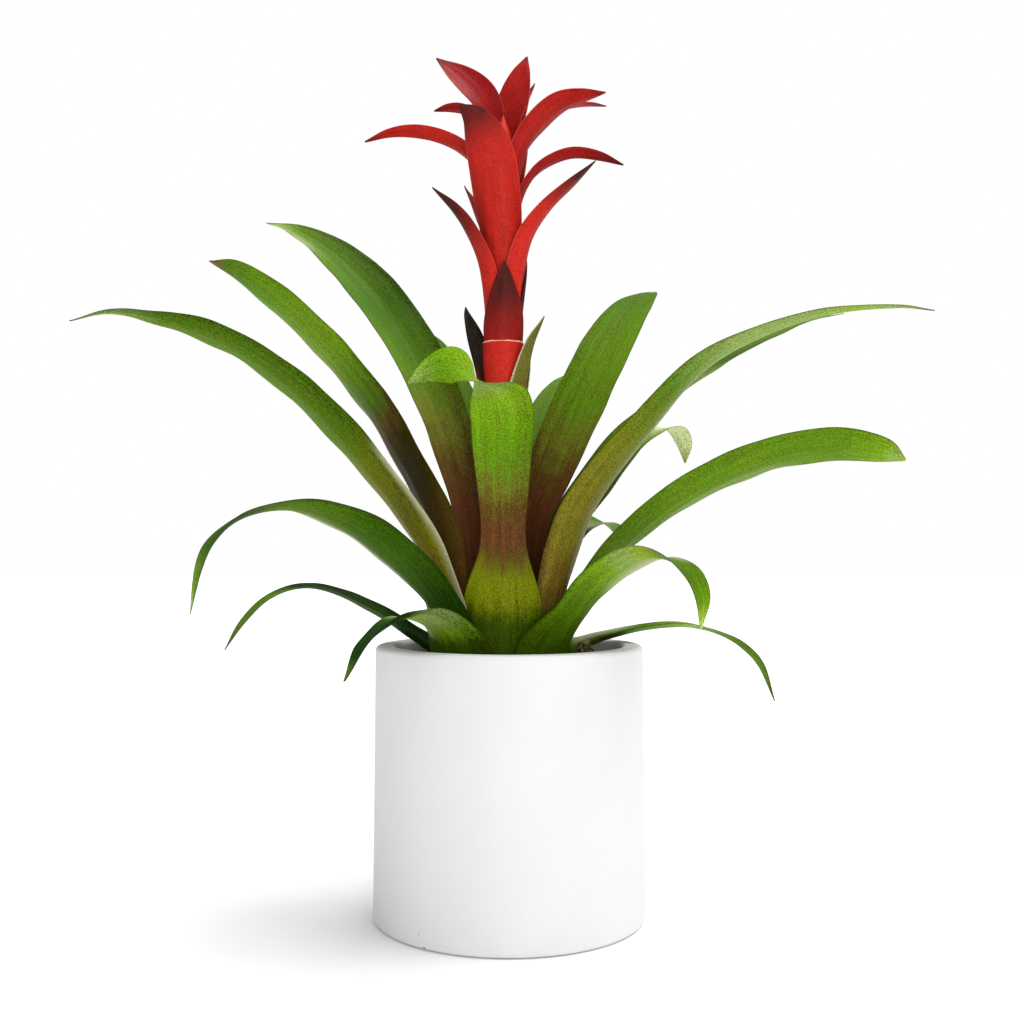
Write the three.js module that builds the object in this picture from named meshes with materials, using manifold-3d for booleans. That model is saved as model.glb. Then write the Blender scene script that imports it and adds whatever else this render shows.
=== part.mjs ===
// A guzmania in a plain white cylindrical pot. Millimetres, +Z up.
// The origin is the middle of the pot's foot, and the plant is seen in flower from the front, along +Y.
import * as THREE from "three";
import { mergeVertices } from "three/addons/utils/BufferGeometryUtils.js";
import Module from "manifold-3d";

const wasm = await Module();
wasm.setup();

const GAP = 0.3; // between one piece and the next

const POT_HEIGHT = 150;
const POT_FOOT_RADIUS = 75.5;
const POT_RIM_RADIUS = 74.5;
const POT_WALL = 11.5;
const POT_FLOOR = 13;
const POT_EDGE_ROUND = 2.5;
const POT_SIDES = 64;

const MIX_WALL_HEIGHT = 136; // the potting mix, at the pot's wall
const MIX_CROWN_HEIGHT = 141; // and round the plant
const MIX_HOLE_RADIUS = 41.5;
const MIX_HOLE_FLOOR = 104;

const PLANT_X = -3.5; // the plant stands a little left of the pot's middle
const STEM_FOOT_RADIUS = 38;
const STEM_SHOULDER = 118; // the short stem is a cylinder to here, then a cone
const STEM_TOP = 152;
const STEM_TOP_RADIUS = 9;
const STEM_SIDES = 32;

const OUTER_SHEATH_RADIUS = 39; // of the lowest leaf's sheath, where it grows from the stem
const SHEATH_STEP = 1.3; // each leaf is clasped this much closer than the one below it
const SHEATH_LEAN = 0.1; // how much the sheaths open per mm of height
const SHEATH_SEAT = 1.25; // from the cone up to the middle of a sheath's foot, which leaves the gap under it
const SHEATH_RIM_HEIGHT = 156; // they stay nested to here, and the lowest leaves part sooner

const LEAF_THICKNESS = 0.8;
const LEAF_ACROSS = 4;
const LEAF_ALONG = 16;

const STALK_RADIUS = 7.5;
const HEAD_FOOT = 292; // where the green stalk ends and the red head begins
const HEAD_SIDES = 16;
const BRACT_THICKNESS = 0.9;
const BRACT_ACROSS = 4;
const BRACT_ALONG = 8;

const leafGreen = new THREE.MeshStandardMaterial({ color: 0x4f8228, roughness: 0.42, metalness: 0 });
const sheathGreen = new THREE.MeshStandardMaterial({ color: 0x6f7f2c, roughness: 0.5, metalness: 0 });
const bractRed = new THREE.MeshStandardMaterial({ color: 0xc82d28, roughness: 0.38, metalness: 0 });
const bractOlive = new THREE.MeshStandardMaterial({ color: 0x4a4024, roughness: 0.5, metalness: 0 });
const potWhite = new THREE.MeshStandardMaterial({ color: 0xf1f1f3, roughness: 0.6, metalness: 0 });
const mixBrown = new THREE.MeshStandardMaterial({ color: 0x3b2a1f, roughness: 0.95, metalness: 0 });

const plant = new THREE.Group();

function addPiece(name, geometry, material) {
  const mesh = new THREE.Mesh(geometry, material);
  mesh.name = name;
  plant.add(mesh);
  return mesh;
}

// Profiles are [radius, height] points, from the axis below to the axis above.
function turned(profile, sides, x = 0) {
  const points = profile.map(([radius, height]) => new THREE.Vector2(radius, height));
  return new THREE.LatheGeometry(points, sides).rotateX(Math.PI / 2).translate(x, 0, 0);
}

// A quarter-round edge on a profile, from one direction to the next.
function roundedCorner(radius, height, round, from, steps = 3) {
  const points = [];
  for (let i = 0; i <= steps; i++) {
    const angle = THREE.MathUtils.degToRad(from + (90 * i) / steps);
    points.push([radius + round * Math.cos(angle), height + round * Math.sin(angle)]);
  }
  return points;
}

// The midrib of a blade: a smooth curve through its stations, with the width, roll, curl at each.
// Stations are [reach, height, width, roll, curl, sway]: reach is out from the plant's axis, and sway to the
// left of the blade's upright plane, looking out from the axis. Roll turns the blade about its midrib, in
// degrees, and curl is the angle that each half of it has turned up by at its margin.
function blade(azimuth, stations, thickness, across, along) {
  const outward = new THREE.Vector3(Math.cos(azimuth), Math.sin(azimuth), 0);
  const sideways = new THREE.Vector3(-Math.sin(azimuth), Math.cos(azimuth), 0);
  const places = stations.map(([reach, height, , , , sway = 0]) =>
    new THREE.Vector3(PLANT_X, 0, height).addScaledVector(outward, reach).addScaledVector(sideways, sway),
  );
  const midrib = new THREE.CatmullRomCurve3(places, false, "catmullrom");
  const sizes = new THREE.CatmullRomCurve3(
    stations.map(([, , width, roll, curl]) => new THREE.Vector3(width, roll, curl)),
    false,
    "catmullrom",
  );

  // One frame for each row of the grid, carried along the midrib without twisting, then rolled.
  const frames = [];
  let side = sideways.clone();
  for (let row = 0; row <= along; row++) {
    const t = row / along;
    const tangent = midrib.getTangent(t);
    side = side.clone().addScaledVector(tangent, -side.dot(tangent)).normalize();
    const size = sizes.getPoint(t);
    const across = side.clone().applyAxisAngle(tangent, THREE.MathUtils.degToRad(size.y));
    frames.push({
      at: midrib.getPoint(t),
      across,
      up: tangent.clone().cross(across),
      half: Math.max(size.x, 1) / 2,
      curl: THREE.MathUtils.degToRad(Math.max(size.z, 2)),
    });
  }

  const sheet = new THREE.PlaneGeometry(2, along, across, along);
  const upper = [];
  const lower = [];
  for (let i = 0; i < sheet.attributes.position.count; i++) {
    const row = Math.round(sheet.attributes.position.getY(i) + along / 2);
    const { at, across: over, up, half, curl } = frames[row];
    const angle = sheet.attributes.position.getX(i) * curl;
    const radius = half / curl;
    const middle = at
      .clone()
      .addScaledVector(over, radius * Math.sin(angle))
      .addScaledVector(up, radius * (1 - Math.cos(angle)));
    const normal = up.clone().multiplyScalar(Math.cos(angle)).addScaledVector(over, -Math.sin(angle));
    upper.push(middle.clone().addScaledVector(normal, thickness / 2));
    lower.push(middle.clone().addScaledVector(normal, -thickness / 2));
  }
  return thickened(sheet, upper, lower, across, along);
}

// Closes two like sheets into one solid, both faces split into triangles alike.
function thickened(sheet, upper, lower, across, along) {
  const count = upper.length;
  const corner = (row, column) => row * (across + 1) + column;
  const rim = [];
  for (let column = 0; column < across; column++) rim.push(corner(along, column));
  for (let row = along; row > 0; row--) rim.push(corner(row, across));
  for (let column = across; column > 0; column--) rim.push(corner(0, column));
  for (let row = 0; row < along; row++) rim.push(corner(row, 0));

  const faces = [];
  const sheetFaces = sheet.index.array;
  for (let i = 0; i < sheetFaces.length; i += 3) {
    const [a, b, c] = sheetFaces.slice(i, i + 3);
    faces.push(a, b, c, c + count, b + count, a + count);
  }
  rim.forEach((from, i) => {
    const to = rim[(i + 1) % rim.length];
    faces.push(from, from + count, to, to, from + count, to + count);
  });
  const positions = [...lower, ...upper].flatMap((point) => point.toArray());
  return new THREE.BufferGeometry()
    .setAttribute("position", new THREE.Float32BufferAttribute(positions, 3))
    .setIndex(faces);
}

function solid(geometry) {
  const bare = geometry.clone();
  for (const name of Object.keys(bare.attributes)) if (name !== "position") bare.deleteAttribute(name);
  const merged = mergeVertices(bare, 1e-3);
  return new wasm.Manifold(
    new wasm.Mesh({
      numProp: 3,
      vertProperties: merged.attributes.position.array,
      triVerts: new Uint32Array(merged.index.array),
    }),
  );
}

// Joined in one body. A hollow that the joining seals is filled, because only the outer skin is kept.
function fused(geometries) {
  const whole = geometries.map(solid).reduce((sum, piece) => sum.add(piece));
  const outer = whole.decompose().reduce((a, b) => (b.volume() > a.volume() ? b : a));
  const mesh = outer.getMesh();
  return new THREE.BufferGeometry()
    .setAttribute("position", new THREE.Float32BufferAttribute(mesh.vertProperties, 3))
    .setIndex([...mesh.triVerts]);
}

// The pot: cast in one piece, with the rim and foot eased.
const potBore = POT_RIM_RADIUS - POT_WALL;
const potProfile = [
  [0, 0],
  ...roundedCorner(POT_FOOT_RADIUS - POT_EDGE_ROUND, POT_EDGE_ROUND, POT_EDGE_ROUND, -90),
  ...roundedCorner(POT_RIM_RADIUS - POT_EDGE_ROUND, POT_HEIGHT - POT_EDGE_ROUND, POT_EDGE_ROUND, 0),
  ...roundedCorner(potBore + POT_EDGE_ROUND, POT_HEIGHT - POT_EDGE_ROUND, POT_EDGE_ROUND, 90),
  [potBore, POT_FLOOR],
  [0, POT_FLOOR],
];
addPiece("pot", turned(potProfile, POT_SIDES), potWhite);

// The potting mix fills the pot, with a plain hole that the plant's short stem stands in.
const mixBlock = turned(
  [
    [0, POT_FLOOR + GAP],
    [potBore - GAP, POT_FLOOR + GAP],
    [potBore - GAP, MIX_WALL_HEIGHT],
    [MIX_HOLE_RADIUS + 6, MIX_CROWN_HEIGHT],
    [0, MIX_CROWN_HEIGHT],
  ],
  POT_SIDES,
);
const mixHole = turned(
  [
    [0, MIX_HOLE_FLOOR],
    [MIX_HOLE_RADIUS, MIX_HOLE_FLOOR],
    [MIX_HOLE_RADIUS + 2, MIX_CROWN_HEIGHT + 10],
    [0, MIX_CROWN_HEIGHT + 10],
  ],
  POT_SIDES / 2,
  PLANT_X,
);
const mix = solid(mixBlock).subtract(solid(mixHole)).getMesh();
addPiece(
  "potting_mix",
  new THREE.BufferGeometry()
    .setAttribute("position", new THREE.Float32BufferAttribute(mix.vertProperties, 3))
    .setIndex([...mix.triVerts]),
  mixBrown,
);

// The short stem that every leaf and the flower stalk grow from.
addPiece(
  "short_stem",
  turned(
    [
      [0, MIX_HOLE_FLOOR + GAP],
      [STEM_FOOT_RADIUS, MIX_HOLE_FLOOR + GAP],
      [STEM_FOOT_RADIUS + 1, STEM_SHOULDER],
      [STEM_TOP_RADIUS, STEM_TOP],
      [0, STEM_TOP],
    ],
    STEM_SIDES,
    PLANT_X,
  ),
  sheathGreen,
);

// The sheaths nest one inside the other, each a little wider at the top. They stand on the stem's cone and
// stay nested to the height where their leaf parts from the next.
function sheathStations(layer, halfAngle, parting) {
  const radiusAtShoulder = OUTER_SHEATH_RADIUS - SHEATH_STEP * layer;
  const coneSlope = (STEM_TOP - STEM_SHOULDER) / (STEM_FOOT_RADIUS + 1 - STEM_TOP_RADIUS);
  const rise = coneSlope * (STEM_FOOT_RADIUS + 1 - radiusAtShoulder) + SHEATH_SEAT;
  const seat = STEM_SHOULDER + rise / (1 + coneSlope * SHEATH_LEAN);
  return [seat, parting].map((height) => {
    const radius = radiusAtShoulder + SHEATH_LEAN * (height - STEM_SHOULDER);
    const angle = THREE.MathUtils.degToRad(halfAngle);
    return [radius, height, 2 * radius * angle, 0, halfAngle];
  });
}

// The leaves from the lowest, outermost one up. Azimuth 270 is the front and 0 the right.
const LEAVES = [
  {
    name: "leaf_front_left_low",
    azimuth: 232,
    layer: 0,
    halfAngle: 32,
    parting: 146,
    stations: [
      [49, 159.5, 34, 6, 30],
      [66, 167.5, 29, 10, 24],
      [81, 168.5, 26, 10, 20],
      [96, 164, 25, 20, 18],
      [110, 156, 18, 24, 14],
      [123, 140, 2, 20, 6],
    ],
  },
  {
    name: "leaf_right_low",
    azimuth: 15,
    layer: 1,
    halfAngle: 30,
    parting: 134,
    stations: [
      [43.5, 144.5, 33, 0, 40],
      [54, 149.8, 28, 0, 34],
      [66, 153.2, 25, 0, 30],
      [82, 156.6, 22, 0, 28],
      [100, 158.4, 20, 0, 26],
      [116, 157.7, 18, 0, 22],
      [132, 153.4, 16, 0, 20],
      [146, 145.6, 14, 0, 16],
      [158, 133.8, 10, 0, 14],
      [167, 113, 1, 0, 5],
    ],
  },
  {
    name: "leaf_left_low",
    azimuth: 172,
    layer: 2,
    halfAngle: 32,
    parting: 142,
    stations: [
      [46, 148.6, 34, 0, 40],
      [56, 155.4, 29, 0, 40],
      [67, 163, 26, 0, 38],
      [80, 170, 24, 0, 34],
      [94, 177, 22, 0, 30],
      [110, 181.4, 19, 0, 24],
      [125, 180, 16, 0, 18],
      [140, 172.6, 14, 0, 14],
      [153, 159.5, 11, 0, 12],
      [163, 145, 1, 0, 5],
    ],
  },
  {
    name: "leaf_back_low",
    azimuth: 105,
    layer: 3,
    halfAngle: 33,
    stations: [
      [46, 172, 32, 0, 30],
      [76, 186, 30, 0, 24],
      [112, 192, 29, 0, 20],
      [148, 186, 27, 0, 18],
      [178, 168, 20, 0, 14],
      [198, 146, 1, 0, 5],
    ],
  },
  {
    name: "leaf_front_right",
    azimuth: 328,
    layer: 4,
    halfAngle: 46,
    parting: 149,
    stations: [
      [50, 170, 38, -4, 34],
      [61, 182.5, 35, -12, 26],
      [73, 192.5, 34, -15, 22],
      [87, 199, 32, -14, 20],
      [101, 198.5, 28, -8, 18],
      [113, 191, 25, 0, 18],
      [119.5, 178, 18, 0, 14],
      [119.5, 162, 1, 0, 5],
    ],
  },
  {
    name: "leaf_left_arching",
    azimuth: 207,
    layer: 5,
    halfAngle: 42,
    stations: [
      [44, 175, 44, 4, 34],
      [63, 196.5, 42, 14, 24],
      [88, 214.5, 34, 16, 18],
      [118, 224.5, 24, 14, 16],
      [146, 220.5, 20, 6, 16],
      [162, 208.5, 21, 0, 16],
      [169.5, 193, 18, 0, 16],
      [174, 171, 1, 0, 5],
    ],
  },
  {
    name: "leaf_right_long",
    azimuth: 352,
    layer: 6,
    halfAngle: 42,
    stations: [
      [44, 179, 36, 0, 34],
      [60, 197.5, 33, -15, 24],
      [85.5, 221.5, 30, -30, 20],
      [115, 240, 29, -35, 18],
      [147, 253.3, 29.5, -35, 18],
      [179, 258.5, 29, -35, 18],
      [206, 256, 21, -35, 16],
      [219, 251.5, 2, -35, 5],
    ],
  },
  {
    name: "leaf_back_right_low",
    azimuth: 78,
    layer: 6.8,
    halfAngle: 40,
    stations: [
      [46.5, 178, 28, 0, 28, 2],
      [68, 193.5, 29, 0, 24, 2],
      [98, 199, 30, 0, 20],
      [132, 192, 28, 0, 18],
      [158, 174, 20, 0, 14],
      [172, 152, 1, 0, 5],
    ],
  },
  {
    name: "leaf_front_upright",
    azimuth: 270,
    layer: 9.3,
    halfAngle: 45,
    rows: 26,
    stations: [
      [34, 178, 44, 0, 40],
      [37, 205, 25, 0, 24],
      [44, 232, 27, 0, 20],
      [55, 256, 31, 0, 18],
      [64, 271, 33, 0, 18],
      [71, 281.5, 32, -22, 18, -4],
      [78, 288.6, 20, -71, 18, -13],
      [82, 294.5, 21, -120, 16, -24],
      [83, 292, 13, -130, 14, -36],
      [82, 286, 1, -130, 5, -46.5],
    ],
  },
  {
    name: "leaf_left_long",
    azimuth: 196,
    layer: 8,
    halfAngle: 44,
    stations: [
      [42, 193, 40, 6, 40],
      [58, 222, 35, 14, 30],
      [80, 251, 33, 20, 26],
      [104, 278, 30, 22, 24],
      [132, 301, 27, 20, 22],
      [158, 315, 24, 18, 20],
      [187, 323.5, 17, 16, 18],
      [211, 326, 7, 10, 14],
      [231, 320.5, 1, 0, 5],
    ],
  },
  {
    name: "leaf_back_right_short",
    azimuth: 50,
    layer: 8.15,
    halfAngle: 38,
    stations: [
      [44, 188.5, 27, 0, 28],
      [62.5, 211, 27, 4, 22],
      [86, 220, 26, 12, 20],
      [110, 215, 21, 16, 16],
      [134, 197, 1, 10, 5],
    ],
  },
  {
    name: "leaf_right_pale",
    azimuth: 42,
    layer: 9.4,
    halfAngle: 28,
    stations: [
      [43.6, 200, 20, 0, 24, 1.5],
      [61.5, 222, 23, 0, 24],
      [87, 247, 24, 0, 22],
      [112, 268, 22, 0, 20],
      [133, 279, 20, 0, 18],
      [149, 279, 17, 0, 16],
      [157, 270, 12, 0, 12],
      [158, 259, 1, 0, 5],
    ],
  },
  {
    name: "leaf_right_behind",
    azimuth: 24,
    layer: 12.3,
    halfAngle: 34,
    stations: [
      [32, 204, 27, 0, 34],
      [51, 238, 26, 4, 28],
      [84, 274, 26, 8, 24],
      [128, 307, 25, 10, 20],
      [169, 330, 23, 10, 18],
      [208, 347, 17, 8, 14],
      [239, 355, 2, 0, 5],
    ],
  },
  {
    name: "leaf_left_upper",
    azimuth: 182,
    layer: 12,
    halfAngle: 44,
    stations: [
      [35, 203, 41, 22, 38],
      [48, 236, 39, 26, 28],
      [60.5, 259, 38, 26, 26],
      [75.5, 285, 37, 26, 24],
      [100, 315, 35, 26, 20],
      [126, 341, 31, 26, 18],
      [149, 358, 21, 24, 16],
      [165, 365, 1, 20, 5],
    ],
  },
  {
    name: "leaf_right_upper",
    azimuth: 345,
    layer: 10.9,
    halfAngle: 43,
    stations: [
      [39.5, 202, 41, -16, 40],
      [51, 230.5, 41, -15, 30],
      [79, 267, 34, -15, 26],
      [111, 301, 32, -8, 22],
      [145, 318.5, 28, -1, 20],
      [180, 328, 18, 1, 16],
      [212, 329.5, 9, 0, 10],
      [231, 326.7, 1, 0, 5],
    ],
  },
  {
    name: "leaf_back_upright",
    azimuth: 92,
    layer: 14.1,
    halfAngle: 44,
    stations: [
      [30.5, 200, 34, 0, 31],
      [46, 236, 32, 0, 26],
      [75, 264, 31, 0, 24],
      [112, 281, 30, 0, 22],
      [148, 283, 28, 0, 20],
      [178, 271, 20, 0, 16],
      [198, 253, 1, 0, 5],
    ],
  },
  {
    name: "leaf_left_tall",
    azimuth: 142,
    layer: 17.4,
    halfAngle: 44,
    stations: [
      [24, 205, 34, 0, 40],
      [34, 248, 35, -8, 26],
      [51, 291, 36, -14, 22],
      [75, 330, 37, -20, 18],
      [108, 367, 35, -24, 16],
      [143, 395, 27, -26, 14],
      [173, 412, 14, -26, 10],
      [202, 421, 1, -26, 5],
    ],
  },
  {
    name: "leaf_right_tall",
    azimuth: 45,
    layer: 18.5,
    halfAngle: 44,
    stations: [
      [22, 210, 34, 0, 43, -2],
      [32, 244, 35, 8, 24, -6],
      [49, 277, 36, 14, 18, -8],
      [68, 307, 36, 16, 14, -8],
      [92, 336, 34, 16, 12, -4],
      [115, 356.5, 27, 14, 12],
      [131, 366, 15, 12, 10, 1],
      [139, 369.5, 2, 10, 5, 1],
    ],
  },
  {
    name: "leaf_back_left",
    azimuth: 117,
    layer: 16.3,
    halfAngle: 42,
    stations: [
      [26.5, 205, 30, 0, 32],
      [35, 240, 30, 0, 24],
      [52, 276, 29, 0, 20],
      [76, 308, 26, 0, 16],
      [99, 333, 16, 0, 12],
      [118, 347, 1, 0, 5],
    ],
  },
  {
    name: "leaf_back_right",
    azimuth: 72,
    layer: 15.2,
    halfAngle: 42,
    stations: [
      [29.5, 203, 30, 0, 29],
      [42, 236, 30, 0, 24],
      [65, 266, 29, 0, 20],
      [95, 293, 26, 0, 18],
      [125, 312, 18, 0, 14],
      [155, 325, 1, 0, 5],
    ],
  },
];
for (const leaf of LEAVES) {
  const { layer, halfAngle, parting = SHEATH_RIM_HEIGHT, rows = LEAF_ALONG } = leaf;
  const whole = [...sheathStations(layer, halfAngle, parting), ...leaf.stations];
  const azimuth = THREE.MathUtils.degToRad(leaf.azimuth);
  addPiece(leaf.name, blade(azimuth, whole, LEAF_THICKNESS, LEAF_ACROSS, rows), leafGreen);
}

// Bracts are small leaves that clasp the stalk. Their roots are sunk in what they grow from.
const bractBlades = (bracts) =>
  bracts.map(({ azimuth, stations }) =>
    blade(THREE.MathUtils.degToRad(azimuth), stations, BRACT_THICKNESS, BRACT_ACROSS, BRACT_ALONG),
  );

// The flower stalk, up to where the red head begins, with the three dark bracts at its top.
const STALK_BRACTS = [
  {
    azimuth: 150,
    stations: [
      [7, 252, 20, 0, 75], [11.5, 282, 27, 0, 66], [15, 302, 25, 0, 50], [20, 320, 22, 0, 40],
      [23, 332, 15, 0, 30], [25, 342.5, 1, 0, 5],
    ],
  },
  {
    azimuth: 340,
    stations: [
      [7, 250, 20, 0, 75], [11.4, 282, 26, 0, 66], [14, 303, 21, 0, 45], [18, 320, 13, 0, 30],
      [24.5, 333.5, 1, 0, 5],
    ],
  },
  {
    azimuth: 40,
    stations: [
      [7, 246, 20, 0, 75], [11.4, 276, 24, 0, 60], [14.5, 294, 16, 0, 40], [20, 313, 1, 0, 5],
    ],
  },
];
const stalk = turned(
  [
    [0, STEM_TOP + GAP],
    [STALK_RADIUS, STEM_TOP + GAP],
    [STALK_RADIUS, HEAD_FOOT - GAP],
    [0, HEAD_FOOT - GAP],
  ],
  HEAD_SIDES,
  PLANT_X,
);
addPiece("flower_stalk", fused([stalk, ...bractBlades(STALK_BRACTS)]), bractOlive);

// The flower head: a core sheathed in one bract after another, from the lowest to the top.
const headCore = turned(
  [
    [0, HEAD_FOOT],
    [9.6, HEAD_FOOT],
    [10.6, 302],
    [10.6, 319],
    [9.8, 320],
    [9.4, 350],
    [8.6, 385],
    [7.4, 415],
    [4.6, 438],
    [0, 450],
  ],
  HEAD_SIDES,
  PLANT_X,
);
const HEAD_BRACTS = [
  // front, low, with a dark tip
  {
    azimuth: 273,
    stations: [
      [9.5, 300, 28, 0, 80], [11, 320, 30, 0, 78], [12.6, 337, 24, 0, 58], [14, 351, 13, 0, 40],
      [14.5, 363, 1, 0, 5],
    ],
  },
  // its small dark neighbour on the right, behind
  {
    azimuth: 20,
    stations: [
      [9, 318, 18, 0, 60], [11, 338, 17, 0, 50], [13, 356, 11, 0, 34], [14, 370, 1, 0, 5],
    ],
  },
  // left, low, brown at the tip
  {
    azimuth: 205,
    stations: [
      [8.6, 318, 24, 0, 76], [10.5, 345, 22, 0, 60], [14.3, 366, 19, 0, 45], [22.5, 382.5, 15.5, 0, 34],
      [32, 394, 10, 0, 28], [43, 403, 1, 0, 5],
    ],
  },
  // right, low, dark at the tip
  {
    azimuth: 335,
    stations: [
      [8.6, 326, 26, 0, 76], [10.5, 352, 25, 0, 62], [15.5, 376, 20.5, 0, 44], [26, 391.5, 17, 0, 30],
      [40.5, 404, 11.5, 0, 24], [56, 416, 1, 0, 5],
    ],
  },
  // small and upright on the left, behind
  {
    azimuth: 165,
    stations: [
      [8, 348, 22, 0, 62], [11, 378, 21, 0, 50], [15.5, 392, 18, 0, 44], [19.5, 403, 13, 0, 36],
      [23, 411, 1, 0, 5],
    ],
  },
  // the long one at the front
  {
    azimuth: 262,
    stations: [
      [8, 346, 26, 0, 82], [11, 374, 29, 0, 72, -0.5], [14, 396, 31, 0, 60, -1.5],
      [17, 414, 30, 0, 50, -4], [21, 428, 26, 0, 40, -7], [26, 439, 16, 0, 28, -12],
      [30, 446, 1, 0, 5, -20],
    ],
  },
  // long arching ones: left, thin right, upper right and the one behind that
  {
    azimuth: 185,
    stations: [
      [7.4, 388, 20, 0, 66], [9.5, 408, 18, 0, 54], [15, 420.5, 14.5, 15, 40], [25, 430.5, 12, 25, 30],
      [38, 436.5, 10.5, 30, 24], [52, 438.5, 9.5, 30, 20], [65, 437, 6.5, 30, 14], [78, 432, 1, 30, 5],
    ],
  },
  {
    azimuth: 5,
    stations: [
      [7.6, 378, 18, 0, 66], [10, 400, 16, 0, 50], [17, 414.5, 12.5, -10, 38], [27, 423.5, 10.5, -25, 30],
      [40, 428.5, 9.5, -30, 24], [55, 427.5, 7, -30, 16], [69, 423, 1, -30, 5],
    ],
  },
  {
    azimuth: 345,
    stations: [
      [7, 396, 22, 0, 70], [9, 415, 24, 0, 56], [13.5, 431, 24, -5, 44], [22.5, 443.5, 21.5, -15, 32],
      [33.5, 452.5, 18, -20, 26], [46, 456, 12, -20, 18], [59, 457, 1, -20, 5],
    ],
  },
  {
    azimuth: 25,
    stations: [
      [6, 420, 14, 0, 60], [16, 442, 14, 0, 34], [30, 455, 13, 0, 24], [44, 461, 10, 0, 18],
      [56, 464, 7, 0, 12], [67, 465, 1, 0, 5],
    ],
  },
  // left, small, behind
  {
    azimuth: 172,
    stations: [
      [6, 427, 14, 0, 60], [13, 445, 13, 10, 34], [22, 453, 10, 20, 24], [31, 455, 7.5, 20, 16],
      [40, 454, 1, 20, 5],
    ],
  },
  // the two that stand up at the top and the one behind them
  {
    azimuth: 170,
    stations: [
      [5.6, 408, 22, 0, 66], [7, 430, 26, -5, 50], [10, 448.5, 28, -25, 38], [15.5, 462.5, 26, -45, 28],
      [25.5, 474, 19, -48, 20], [39, 485, 1, -50, 5],
    ],
  },
  {
    azimuth: 55,
    stations: [
      [5, 412, 20, 0, 66], [6, 434, 22, 0, 50], [9, 452, 22, 10, 36], [13, 467, 18, 20, 24],
      [18, 480, 11, 20, 16], [24, 491, 1, 20, 5],
    ],
  },
  {
    azimuth: 38,
    stations: [
      [5, 420, 16, 0, 60], [9, 444, 15, 0, 40], [15.5, 460, 11, 0, 24], [23, 473, 1, 0, 5],
    ],
  },
  // those round the back
  {
    azimuth: 95,
    stations: [
      [8.4, 340, 24, 0, 74], [11, 368, 24, 0, 60], [17, 393, 20, 0, 44], [27, 411, 16, 0, 30],
      [41, 424, 1, 0, 5],
    ],
  },
  {
    azimuth: 125,
    stations: [
      [7.4, 388, 22, 0, 70], [10, 411, 21, 0, 54], [16, 431, 18, 0, 38], [26, 444, 12, 0, 26],
      [37, 452, 1, 0, 5],
    ],
  },
  {
    azimuth: 72,
    stations: [
      [7.8, 372, 22, 0, 70], [10.5, 398, 21, 0, 54], [17, 420, 18, 0, 38], [28, 435, 13, 0, 26],
      [43, 444, 1, 0, 5],
    ],
  },
  {
    azimuth: 108,
    stations: [
      [5.6, 420, 18, 0, 60], [8, 441, 17, 0, 44], [14, 456, 13, 0, 28], [23, 466, 1, 0, 5],
    ],
  },
];
addPiece("flower_head", fused([headCore, ...bractBlades(HEAD_BRACTS)]), bractRed);

plant.updateMatrixWorld(true);
export default plant;
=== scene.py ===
"""A guzmania in flower, in its white cylindrical pot."""

import math
import random

import bmesh
import bpy
from mathutils import Matrix, Quaternion, Vector, noise


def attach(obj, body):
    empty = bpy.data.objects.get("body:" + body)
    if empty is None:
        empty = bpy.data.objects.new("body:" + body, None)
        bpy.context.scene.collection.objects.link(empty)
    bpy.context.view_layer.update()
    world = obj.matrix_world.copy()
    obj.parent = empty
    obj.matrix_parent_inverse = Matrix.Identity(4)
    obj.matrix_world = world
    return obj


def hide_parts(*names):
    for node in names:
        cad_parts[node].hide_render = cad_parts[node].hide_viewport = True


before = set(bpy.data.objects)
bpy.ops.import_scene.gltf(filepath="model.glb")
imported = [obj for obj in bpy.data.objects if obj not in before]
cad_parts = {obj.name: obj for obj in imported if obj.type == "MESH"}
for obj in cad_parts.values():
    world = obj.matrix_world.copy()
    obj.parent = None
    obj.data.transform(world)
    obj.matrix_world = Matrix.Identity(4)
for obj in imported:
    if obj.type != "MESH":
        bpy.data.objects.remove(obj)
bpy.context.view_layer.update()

# ---------------------------------------------------------------------------------------------------
# The pot: a thick-walled white cylinder, cast in one piece and finished with a matt white glaze.
# Its rim and foot are eased, its floor is flat inside and out, and the glaze has a few pinholes.
# ---------------------------------------------------------------------------------------------------
MM = 0.001
POT_HEIGHT = 150
POT_FOOT_RADIUS = 75.5
POT_RIM_RADIUS = 74.5
POT_BORE_RADIUS = 63
POT_FLOOR = 13
POT_EDGE_ROUND = 2.5
POT_EDGE_STEPS = 8
POT_WALL_END = 12
# Pinholes in the glaze and a small chip at the foot, each with its place and size.
POT_FLAWS = [((-74.0, -14.0, 70.0), 0.55), ((-46.0, -60.0, 7.5), 0.5), ((-43.0, -61.6, 1.2), 1.1)]
PLANT_X = -3.5


def srgb(red, green, blue):
    channels = [c / 255 for c in (red, green, blue)]
    return [c / 12.92 if c <= 0.04045 else ((c + 0.055) / 1.055) ** 2.4 for c in channels] + [1]


def shader_node(tree, kind, inputs=None, **settings):
    made = tree.nodes.new("ShaderNode" + kind)
    for key, value in settings.items():
        setattr(made, key, value)
    for key, value in (inputs or {}).items():
        if isinstance(value, bpy.types.NodeSocket):
            tree.links.new(value, made.inputs[key])
        else:
            made.inputs[key].default_value = value
    return made


def maths(tree, operation, *values, clamp=False):
    inputs = dict(enumerate(values))
    return shader_node(tree, "Math", inputs, operation=operation, use_clamp=clamp).outputs[0]


def mixed(tree, factor, first, second):
    return shader_node(tree, "Mix", {0: factor, 6: first, 7: second}, data_type="RGBA").outputs[2]


def ramped(tree, factor, low, high, start=0.0, end=1.0):
    inputs = {0: factor, 1: low, 2: high, 3: start, 4: end}
    return shader_node(tree, "MapRange", inputs, interpolation_type="SMOOTHSTEP").outputs[0]


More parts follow.
